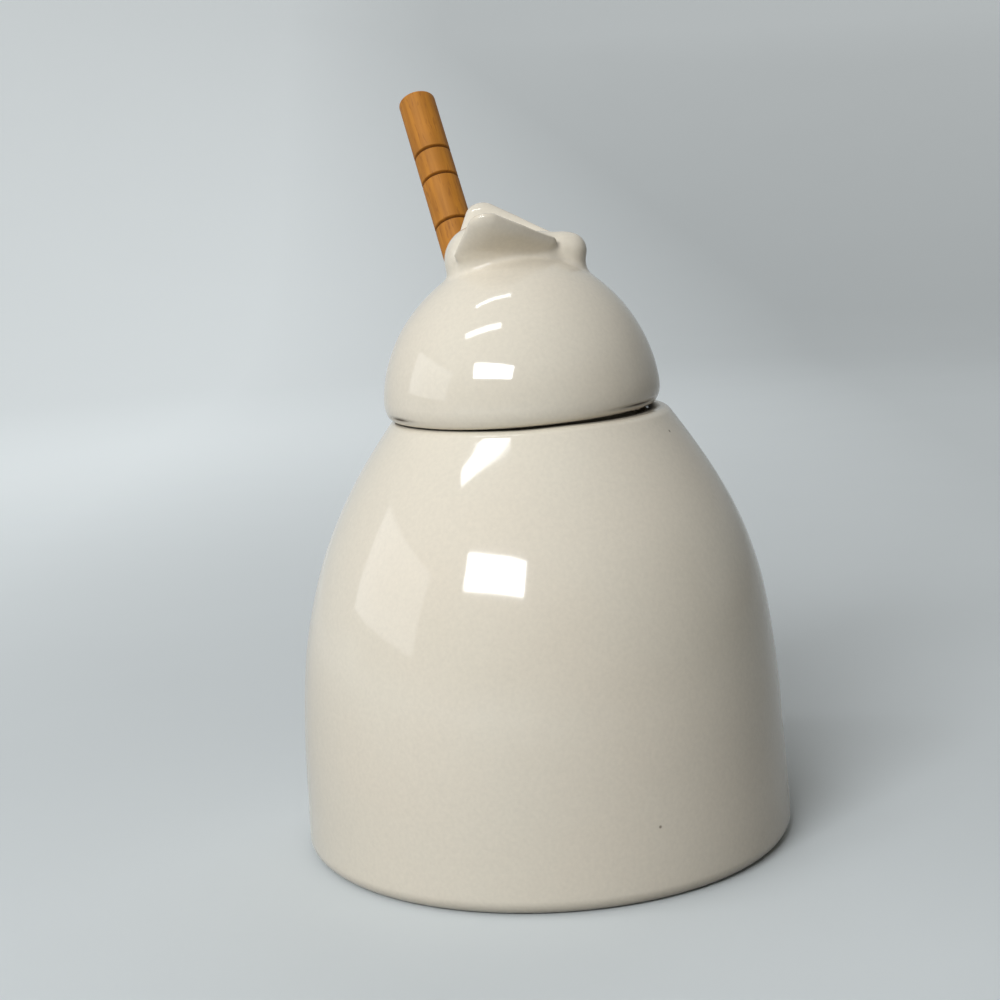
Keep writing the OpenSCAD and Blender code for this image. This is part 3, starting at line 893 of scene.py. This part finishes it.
def laid_to_rest(points, dipper):
    """Points drawn upright from the head's tip, turned so that their Z runs along the dipper."""
    turn = np.array(Vector((0, 0, 1)).rotation_difference(DIPPER_WAY).to_matrix())
    tip = np.array(dipper_ball(dipper) - DIPPER_WAY * (dipper.head_d / 2))
    return points @ turn.T + tip


# ---- Finishes ----

def add(tree, kind, settings=None, inputs=None):
    """One node with its settings and its inputs. An input is a value, or another node's output."""
    node = tree.nodes.new("ShaderNode" + kind)
    for key, value in (settings or {}).items():
        setattr(node, key, value)
    for key, value in (inputs or {}).items():
        if isinstance(value, bpy.types.NodeSocket):
            tree.links.new(value, node.inputs[key])
        else:
            node.inputs[key].default_value = value
    return node


def new_material(name):
    """An empty material, its tree, and the place on the piece that its patterns read."""
    material = bpy.data.materials.new(name)
    material.use_nodes = True
    tree = material.node_tree
    tree.nodes.clear()
    return material, tree, add(tree, "TexCoord").outputs["Object"]


def finish_with(tree, kind, inputs):
    """The last shader of a material, sent to its output."""
    shader = add(tree, kind, inputs=inputs)
    add(tree, "OutputMaterial", inputs={"Surface": shader.outputs[0]})


def per(size):
    """Texture scale for a pattern whose grain has this size in metres."""
    return 1 / size


def noise(tree, place, size, detail):
    """A soft random pattern whose grain has this size."""
    settings = {"Vector": place, "Scale": per(size), "Detail": detail}
    return add(tree, "TexNoise", inputs=settings).outputs[0]


def mapped(tree, value, start, end, low, high, kind="LINEAR"):
    """A number carried from the range start to end over to low to high, and held at its ends."""
    return add(tree, "MapRange", {"interpolation_type": kind},
               {0: value, 1: start, 2: end, 3: low, 4: high}).outputs[0]


def tinted(tree, share, first, second):
    """A blend of two colours, with this share of the second."""
    return add(tree, "Mix", {"data_type": "RGBA"}, {0: share, 6: first, 7: second}).outputs[2]


def shaded(tree, tint, factor):
    """A colour made darker or lighter by a factor."""
    return add(tree, "VectorMath", {"operation": "SCALE"}, {0: tint, 3: factor}).outputs[0]


def combined(tree, operation, first, *others):
    """Numbers brought together one after the other by an operation."""
    for other in others:
        first = add(tree, "Math", {"operation": operation}, {0: first, 1: other}).outputs[0]
    return first


def layer_of(tree, name):
    """The number that the piece carries at each vertex under this name."""
    return add(tree, "Attribute", {"attribute_name": name}).outputs["Fac"]


def bumped(tree, height, strength, depth):
    """The normal of a surface with small bumps."""
    settings = {"Strength": strength, "Distance": depth, "Height": height}
    return add(tree, "Bump", inputs=settings).outputs[0]


PINHOLES = ((-26.7, 83.83 * MM), (-65.8, 14.7 * MM))    # Pinholes: degrees round the pot, and height
PINHOLE_R = (0.12 * MM, 0.42 * MM)                      # Where a pinhole's dark dot ends


def pinhole_places(pot):
    """Each pinhole's point on the uneven wall."""
    a, z = np.array(PINHOLES).T
    return wavy_wall(polar(pot_wall(pot, z), np.radians(a), z), z / POT_TOP, pot)


def ivory_glaze(look, pot):
    """Glossy ivory earthenware glaze, dipped and fired: a clear coat of glass over a warm body. To the
    eye it is smooth and wet, with crisp reflections that ripple a little, faint clouds of warmer and
    cooler ivory, a tan tint where the glaze runs thin on edges, and a few pinholes. Where the lid sits
    and in the lid's creases it turns to matt clay in a dark brown that is painted shade for the gap and
    the creases."""
    material, tree, place = new_material("ivory_glaze")
    cloud = noise(tree, place, 34 * MM, 3)
    grain = noise(tree, place, 0.8 * MM, 2)
    ripple = noise(tree, place, 7 * MM, 1)
    # Painted shade: where this mask is 1 the colour is the dark shade colour and the finish matt clay.
    clay = layer_of(tree, "bare_and_shade")
    tint = tinted(tree, cloud, look.glaze, look.glaze_warm)
    tint = tinted(tree, mapped(tree, layer_of(tree, "bend"), 0.25, 1.3, 0, 0.4), tint, look.glaze_thin)
    tint = shaded(tree, tint, mapped(tree, grain, 0.25, 0.75, 0.97, 1.03))
    for spot in pinhole_places(pot):
        away = add(tree, "VectorMath", {"operation": "DISTANCE"}, {0: place, 1: tuple(spot)})
        dot = mapped(tree, away.outputs["Value"], *PINHOLE_R, 0.8, 0, "SMOOTHSTEP")
        tint = tinted(tree, dot, tint, look.speck)
    shine = mapped(tree, cloud, 0, 1, 0.05, 0.09)
    finish_with(tree, "BsdfPrincipled", {
        "Base Color": tinted(tree, clay, tint, look.shade_and_clay),
        "Roughness": add(tree, "Mix", inputs={0: clay, 2: shine, 3: 0.85}).outputs[0],
        "IOR": 1.52, "Normal": bumped(tree, ripple, 0.35, 0.08 * MM)})
    return material


def bare_clay(look):
    """Unglazed earthenware, wiped clean before firing: the foot ring is matt, a little darker than the
    glaze, and gritty to the eye at close range."""
    material, tree, place = new_material("bare_clay")
    grit = noise(tree, place, 0.5 * MM, 4)
    stain = noise(tree, place, 12 * MM, 3)
    tint = tinted(tree, stain, look.clay, look.glaze_thin)
    finish_with(tree, "BsdfPrincipled", {
        "Base Color": shaded(tree, tint, mapped(tree, grit, 0, 1, 0.82, 1.12)),
        "Roughness": 0.85, "IOR": 1.5, "Normal": bumped(tree, grit, 0.6, 0.1 * MM)})
    return material


def oiled_beech(look):
    """Turned beech, sanded and oiled: satin orange-brown wood. To the eye it has straight growth
    lines about 2 mm apart along the dipper, short dark flecks that are its rays, fine streaks, and
    dark lines where the turned grooves were burnt in."""
    material, tree, place = new_material("oiled_beech")
    turn = Vector((0, 0, 1)).rotation_difference(DIPPER_WAY).to_euler()
    grain_at = add(tree, "Mapping", {"vector_type": "TEXTURE"}, {"Vector": place, "Rotation": turn})
    drawn = [add(tree, "Mapping", inputs={"Vector": grain_at.outputs[0], "Location": at,
                                          "Scale": (1, 1, share)}).outputs[0]
             for at, share in (((38 * MM, 17 * MM, 0), 0.08), ((0, 0, 0), 0.05), ((0, 0, 0), 0.2))]
    ring_scale = per(2.3 * MM) * 0.314
    rings = add(tree, "TexWave", {"wave_type": "RINGS", "rings_direction": "Z"},
                {"Vector": drawn[0], "Scale": ring_scale, "Distortion": 3.2, "Detail": 2,
                 "Detail Scale": per(9 * MM) / ring_scale})
    streak = noise(tree, drawn[1], 0.7 * MM, 3)
    fleck = noise(tree, drawn[2], 0.55 * MM, 1)
    tint = look.wood
    for mark in (mapped(tree, rings.outputs["Fac"], 0.2, 1, 0, 0.22),
                 mapped(tree, streak, 0.4, 0.8, 0, 0.4), mapped(tree, fleck, 0.6, 0.72, 0, 0.5)):
        tint = tinted(tree, mark, tint, look.wood_dark)
    tint = shaded(tree, tint, mapped(tree, noise(tree, place, 9 * MM, 2), 0.3, 0.7, 0.9, 1.1))
    finish_with(tree, "BsdfPrincipled", {
        "Base Color": tinted(tree, layer_of(tree, "burnt"), tint, look.burnt),
        "Roughness": mapped(tree, streak, 0, 1, 0.55, 0.7),
        "IOR": 1.47, "Normal": bumped(tree, streak, 0.5, 0.06 * MM)})
    return material


def looked_at(tree):
    """1 for a ray that looks straight, by a reflection or through glass, and 0 for one that lights."""
    path = add(tree, "LightPath").outputs
    kinds = ("Camera", "Glossy", "Transmission")
    return combined(tree, "MAXIMUM", *(path[f"Is {kind} Ray"] for kind in kinds))


# The card's glow and fade: the range of the place, in metres, and the range of the share
GLOW_FAR = (0.03, 0.7, 0, 0.5)      # By the distance from the pot
GLOW_LEFT = (-0.2, 0.2, 1, 0.15)    # By X
GLOW_UP = (0, 0.25, 0.1, 0.7)       # By the height
GLOW_BACK = (-0.15, 0.2, 0.1, 1)    # By Y
FADE_UP = (0.4, 1.1, 0, 1)          # By the height, from the card to the even backdrop


def matt_paper(look):
    """Pale matt card for the floor and the backdrop, with the faint mottle of its pulp. Far from the
    pot it glows a little for what looks at it, so that the backdrop stays pale to its top, and less
    so on the right and before the pot, where the lamps reach it. Up the wall it turns into the even
    backdrop that is seen beyond it, and lets the light from there through."""
    material, tree, place = new_material("matt_card")
    seen = looked_at(tree)
    away = add(tree, "VectorMath", {"operation": "LENGTH"}, {0: place})
    far = mapped(tree, away.outputs["Value"], *GLOW_FAR, "SMOOTHSTEP")
    at = add(tree, "SeparateXYZ", inputs={0: place}).outputs
    side = combined(tree, "MAXIMUM", mapped(tree, at["X"], *GLOW_LEFT), mapped(tree, at["Z"], *GLOW_UP))
    glow = combined(tree, "MULTIPLY", far, seen, side, mapped(tree, at["Y"], *GLOW_BACK))
    shade = mapped(tree, noise(tree, place, 60 * MM, 3), 0, 1, 0.985, 1.015)
    card = add(tree, "BsdfPrincipled", inputs={
        "Base Color": shaded(tree, tinted(tree, seen, look.bounce, look.paper), shade),
        "Roughness": 0.9, "Emission Color": look.paper, "Emission Strength": glow})
    open_air = add(tree, "BsdfTransparent")
    sight = add(tree, "Emission", inputs={"Color": look.paper, "Strength": SIGHT})
    above = add(tree, "MixShader", inputs={0: seen, 1: open_air.outputs[0], 2: sight.outputs[0]})
    finish_with(tree, "MixShader", {0: mapped(tree, at["Z"], *FADE_UP, "SMOOTHSTEP"),
                                    1: card.outputs[0], 2: above.outputs[0]})
    return material


def once(name, make, *given):
    """The material of this name, made the first time that a piece asks for it."""
    return bpy.data.materials.get(name) or make(*given)


def glaze_of(scene):
    """The glaze that the pot, the lid and the bee share."""
    return once("ivory_glaze", ivory_glaze, scene.honeypot_looks, scene.honeypot_pot)


# ---- Camera, lamps and floor ----

CAMERA_PLACE = (0, -380 * MM, 135.63 * MM)
CAMERA_PITCH, CAMERA_YAW, CAMERA_ROLL = (math.radians(turn) for turn in (-9.852, -1.003, 3.240))
FOCAL_WIDTHS = 1.89684   # Focal length in widths of the sensor
SENSOR = 36.0            # Width of the sensor in millimetres, as Blender has it
FLOOR_R = 0.9
COVE_R = 0.6
WALL_H = 0.9
SIGHT = 0.8              # Brightness of the even backdrop beyond the wall
LAMP_TINT, SKY_TINT, SKY = "#fbfdff", "#fdf8ee", 0.14
# Panes of soft light: name, azimuth from -Y toward +X, elevation and spin in degrees, width, height,
# radiance, and whether the glaze mirrors it
PANES = (
    ("pane_low", -24, 30.5, 0, 0.60, 0.21, 23.0, True),
    ("pane_high", -49.5, 57.6, -37, 0.50, 0.09, 12.5, True),
    ("pane_top", -94, 75, 0, 0.06, 0.44, 12.0, True),
    ("pane_side", -84, 16.5, 0, 0.90, 0.44, 1.3, True),
    ("pane_back", 165, 38, 0, 0.90, 0.60, 1.5, False),
)
PANE_AWAY = 1.15
AIM = Vector((0, 0, 75 * MM))    # What the panes face


def look_way(azimuth, elevation):
    """A direction by its angle from +Y toward +X and its angle up."""
    return Vector((math.sin(azimuth) * math.cos(elevation), math.cos(azimuth) * math.cos(elevation),
                   math.sin(elevation)))


def set_camera():
    """The camera of the photograph: its place, and its turn as yaw, pitch and roll."""
    ahead = look_way(CAMERA_YAW, CAMERA_PITCH)
    right = Vector((math.cos(CAMERA_YAW), -math.sin(CAMERA_YAW), 0))
    up = right.cross(ahead)
    c, s = math.cos(CAMERA_ROLL), math.sin(CAMERA_ROLL)
    camera = bpy.data.objects.new("camera", bpy.data.cameras.new("camera"))
    turn = Matrix((c * right - s * up, s * right + c * up, -ahead)).transposed().to_4x4()
    turn.translation = Vector(CAMERA_PLACE)
    camera.matrix_world = turn
    camera.data.sensor_width = SENSOR
    camera.data.lens = SENSOR * FOCAL_WIDTHS
    camera.data.clip_start = 10 * MM
    bpy.context.scene.collection.objects.link(camera)
    bpy.context.scene.camera = camera


def set_pane(name, azimuth, elevation, spin, width, height, radiance, mirrored):
    """A rectangle of even light that faces the pot. Its power is radiance times pi times its area."""
    lamp = bpy.data.lights.new(name, "AREA")
    lamp.shape = "RECTANGLE"
    lamp.size, lamp.size_y = width, height
    lamp.energy = radiance * math.pi * width * height
    lamp.color = srgb(LAMP_TINT)[:3]
    holder = bpy.data.objects.new(name, lamp)
    way = look_way(math.pi - math.radians(azimuth), math.radians(elevation))
    holder.location = AIM + way * PANE_AWAY
    facing = (-way).to_track_quat("-Z", "Y") @ Quaternion((0, 0, 1), -math.radians(spin))
    holder.rotation_euler = facing.to_euler()
    holder.visible_camera = False
    holder.visible_glossy = mirrored
    bpy.context.scene.collection.objects.link(holder)


def set_world(look):
    """Even light from all round, and the backdrop's own colour for what looks straight at it."""
    world = bpy.data.worlds.new("studio")
    bpy.context.scene.world = world
    world.use_nodes = True
    tree = world.node_tree
    tree.nodes.clear()
    light = add(tree, "Background", inputs={"Color": srgb(SKY_TINT), "Strength": SKY})
    sight = add(tree, "Background", inputs={"Color": look.paper, "Strength": SIGHT})
    mixed = add(tree, "MixShader",
                inputs={0: looked_at(tree), 1: light.outputs[0], 2: sight.outputs[0]})
    add(tree, "OutputWorld", inputs={"Surface": mixed.outputs[0]})


# ---- Operators, one for each piece or group, and one for the stage ----

class HONEYPOT_OT_stage(bpy.types.Operator):
    """Set the camera, the soft lamps, the pale floor and its backdrop"""
    bl_idname = "honeypot.stage"
    bl_label = "Set the stage"

    def execute(self, context):
        look = context.scene.honeypot_looks
        context.scene.view_settings.view_transform = "Standard"
        set_camera()
        for pane in PANES:
            set_pane(*pane)
        set_world(look)
        profile = joined([(0, 0), (FLOOR_R * 0.5, 0), (FLOOR_R, 0)],
                         arc((FLOOR_R, COVE_R), COVE_R, -90, 0, 24),
                         [(FLOOR_R + COVE_R, COVE_R + WALL_H)])
        points, quads, tris, _ = turn_profile(profile, 96)
        floor = put_mesh("floor", points, quads, tris, [once("matt_card", matt_paper, look)])
        return {"FINISHED"}


def set_bend(piece, bend):
    """How much a glazed piece bends at each vertex, in 1/mm, which thins its glaze."""
    set_layer(piece, "bend", np.clip(bend * MM, -1, 1))


SEAT_SOFT = 0.8 * MM     # Width over which the painted shade under the lid fades
SEAT_H = 0.3 * MM        # Depth below the rim that the painted shade reaches
BARE_H = 0.12 * MM       # Height of the foot ring's unglazed face


class HONEYPOT_OT_pot(bpy.types.Operator):
    """Throw and glaze the pot"""
    bl_idname = "honeypot.pot"
    bl_label = "Make the pot"

    def execute(self, context):
        scene = context.scene
        pot, look = scene.honeypot_pot, scene.honeypot_looks
        profile, share = pot_profile(pot)
        points, quads, tris, row_of = turn_profile(profile)
        # Painted shade: the rim's top under the lid's edge gets the dark shade colour for the gap, and
        # a matt finish.
        under_lid = LID_R - scene.honeypot_lid.edge_in + 0.2 * MM
        shade_and_clay = 1 - ease(np.hypot(points[:, 0], points[:, 1]), under_lid - SEAT_SOFT, under_lid)
        shade_and_clay *= points[:, 2] > POT_TOP - SEAT_H
        points = wavy_wall(points, share[row_of], pot)
        ring_r = pot.base_r - pot.foot_ring_w - pot.foot_hollow
        bare_and_shade = lambda c: (c[:, 2] < BARE_H) & (np.hypot(c[:, 0], c[:, 1]) > ring_r)
        finish = [glaze_of(scene), once("bare_clay", bare_clay, look)]
        piece = put_mesh("pot", points, quads, tris, finish, bare_and_shade=bare_and_shade)
        set_layer(piece, "bare_and_shade", shade_and_clay)
        set_bend(piece, edge_bend(piece))
        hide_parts("pot_body")
        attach(piece, "pot")
        return {"FINISHED"}


class HONEYPOT_OT_lid(bpy.types.Operator):
    """Make the notched lid with its collar"""
    bl_idname = "honeypot.lid"
    bl_label = "Make the lid"

    def execute(self, context):
        scene = context.scene
        lid = scene.honeypot_lid
        points, quads, tris = lid_surface(lid, scene.honeypot_pot, scene.honeypot_dipper)
        points, bare_and_shade = warp_lid_edge(points, lid)
        points += np.array([LID_AXIS_X, 0, lid_base_z(lid)])
        piece = put_mesh("lid", points, quads, tris, [glaze_of(scene)])
        # Painted shade: the creases and the underside where the lid sits get the dark shade colour.
        set_layer(piece, "bare_and_shade", bare_and_shade)
        set_bend(piece, edge_bend(piece))
        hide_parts("lid_shell")
        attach(piece, "lid")
        return {"FINISHED"}


BEE_CELL = 0.28 * MM
BEE_BOX = (-18, -11, -7), (18, 11, 9)              # Boxes in mm round the bee, in its own frame
RIGHT_BOX = (-17, -21, -7), (12, 1, 14)
LEFT_BOX = (-17, -1, -7), (12, 21, 14)


class HONEYPOT_OT_bee(bpy.types.Operator):
    """Model the bee and its two raised wings, joined to the lid with slip"""
    bl_idname = "honeypot.bee"
    bl_label = "Make the bee"

    def execute(self, context):
        scene = context.scene
        bee, lid = scene.honeypot_bee, scene.honeypot_lid
        dome = lambda p: dome_distance(p, lid, bee)
        body = lambda p: bee_body(p, bee)
        whole = lambda p: merged(body(p), dome(p), bee.body_fillet)
        at_wing = (whole, bee.wing_fillet, lambda p: wing_slip(p, bee))
        parts = (
            ("bee", body, dome, bee.body_fillet, lambda p: bee.body_fillet, BEE_BOX, "bee_body"),
            ("wing_right", lambda p: wing(p, bee, -1), *at_wing, RIGHT_BOX, "bee_wing_right"),
            ("wing_left", lambda p: wing(p, bee, 1), *at_wing, LEFT_BOX, "bee_wing_left"))
        shift = np.array([LID_AXIS_X, 0, LID_HIGH.z - bee.sink])
        for name, part, ground, width, slip, box, node in parts:
            closed, full = applied_part(part, ground, width, slip)
            points, quads = zero_surface(closed, *np.array(box) * MM, BEE_CELL)
            normals = slope_of(closed, points)
            normals /= np.linalg.norm(normals, axis=1, keepdims=True)
            piece = put_mesh(name, points + shift, quads, np.zeros((0, 3), int),
                             [glaze_of(scene)], normals=normals)
            set_bend(piece, bend_of(full, points))
            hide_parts(node)
            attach(piece, "lid")
        return {"FINISHED"}


class HONEYPOT_OT_dipper(bpy.types.Operator):
    """Turn the dipper's handle and its ribbed head"""
    bl_idname = "honeypot.dipper"
    bl_label = "Turn the dipper"

    def execute(self, context):
        scene = context.scene
        dipper = scene.honeypot_dipper
        wood = once("oiled_beech", oiled_beech, scene.honeypot_looks)
        side, deep = handle_profile(dipper)
        profiles = (("dipper_head_turned", head_profile(dipper), None, "dipper_head", 144),
                    ("dipper_stick", side, deep, "dipper_handle", 96))
        for name, profile, burnt, node, steps in profiles:
            points, quads, tris, row_of = turn_profile(profile, steps)
            piece = put_mesh(name, laid_to_rest(points, dipper), quads, tris, [wood])
            set_layer(piece, "burnt", np.zeros(len(points)) if burnt is None else burnt[row_of])
            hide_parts(node)
            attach(piece, "dipper")
        return {"FINISHED"}


class HONEYPOT_PT_panel(bpy.types.Panel):
    """Sizes, colours and steps of the honey pot"""
    bl_label = "Honey Pot"
    bl_idname = "HONEYPOT_PT_panel"
    bl_space_type = "VIEW_3D"
    bl_region_type = "UI"
    bl_category = "Honey Pot"

    def draw(self, context):
        for step in STEPS:
            self.layout.operator(step.bl_idname)
        for holder, group in GROUPS.items():
            box = self.layout.box()
            box.label(text=group.__doc__)
            for key in group.__annotations__:
                box.prop(getattr(context.scene, holder), key)


GROUPS = {
    "honeypot_pot": PotSizes,
    "honeypot_lid": LidSizes,
    "honeypot_bee": BeeSizes,
    "honeypot_dipper": DipperSizes,
    "honeypot_looks": Finishes,
}
STEPS = (HONEYPOT_OT_stage, HONEYPOT_OT_pot, HONEYPOT_OT_lid, HONEYPOT_OT_bee, HONEYPOT_OT_dipper)
CLASSES = (*GROUPS.values(), *STEPS, HONEYPOT_PT_panel)


def register():
    for one in CLASSES:
        bpy.utils.register_class(one)
    for holder, group in GROUPS.items():
        setattr(bpy.types.Scene, holder, PointerProperty(type=group))


def unregister():
    for holder in GROUPS:
        delattr(bpy.types.Scene, holder)
    for one in reversed(CLASSES):
        bpy.utils.unregister_class(one)


def main():
    register()
    for step in STEPS:
        group, name = step.bl_idname.split(".")
        getattr(getattr(bpy.ops, group), name)()


if __name__ == "__main__":
    main()
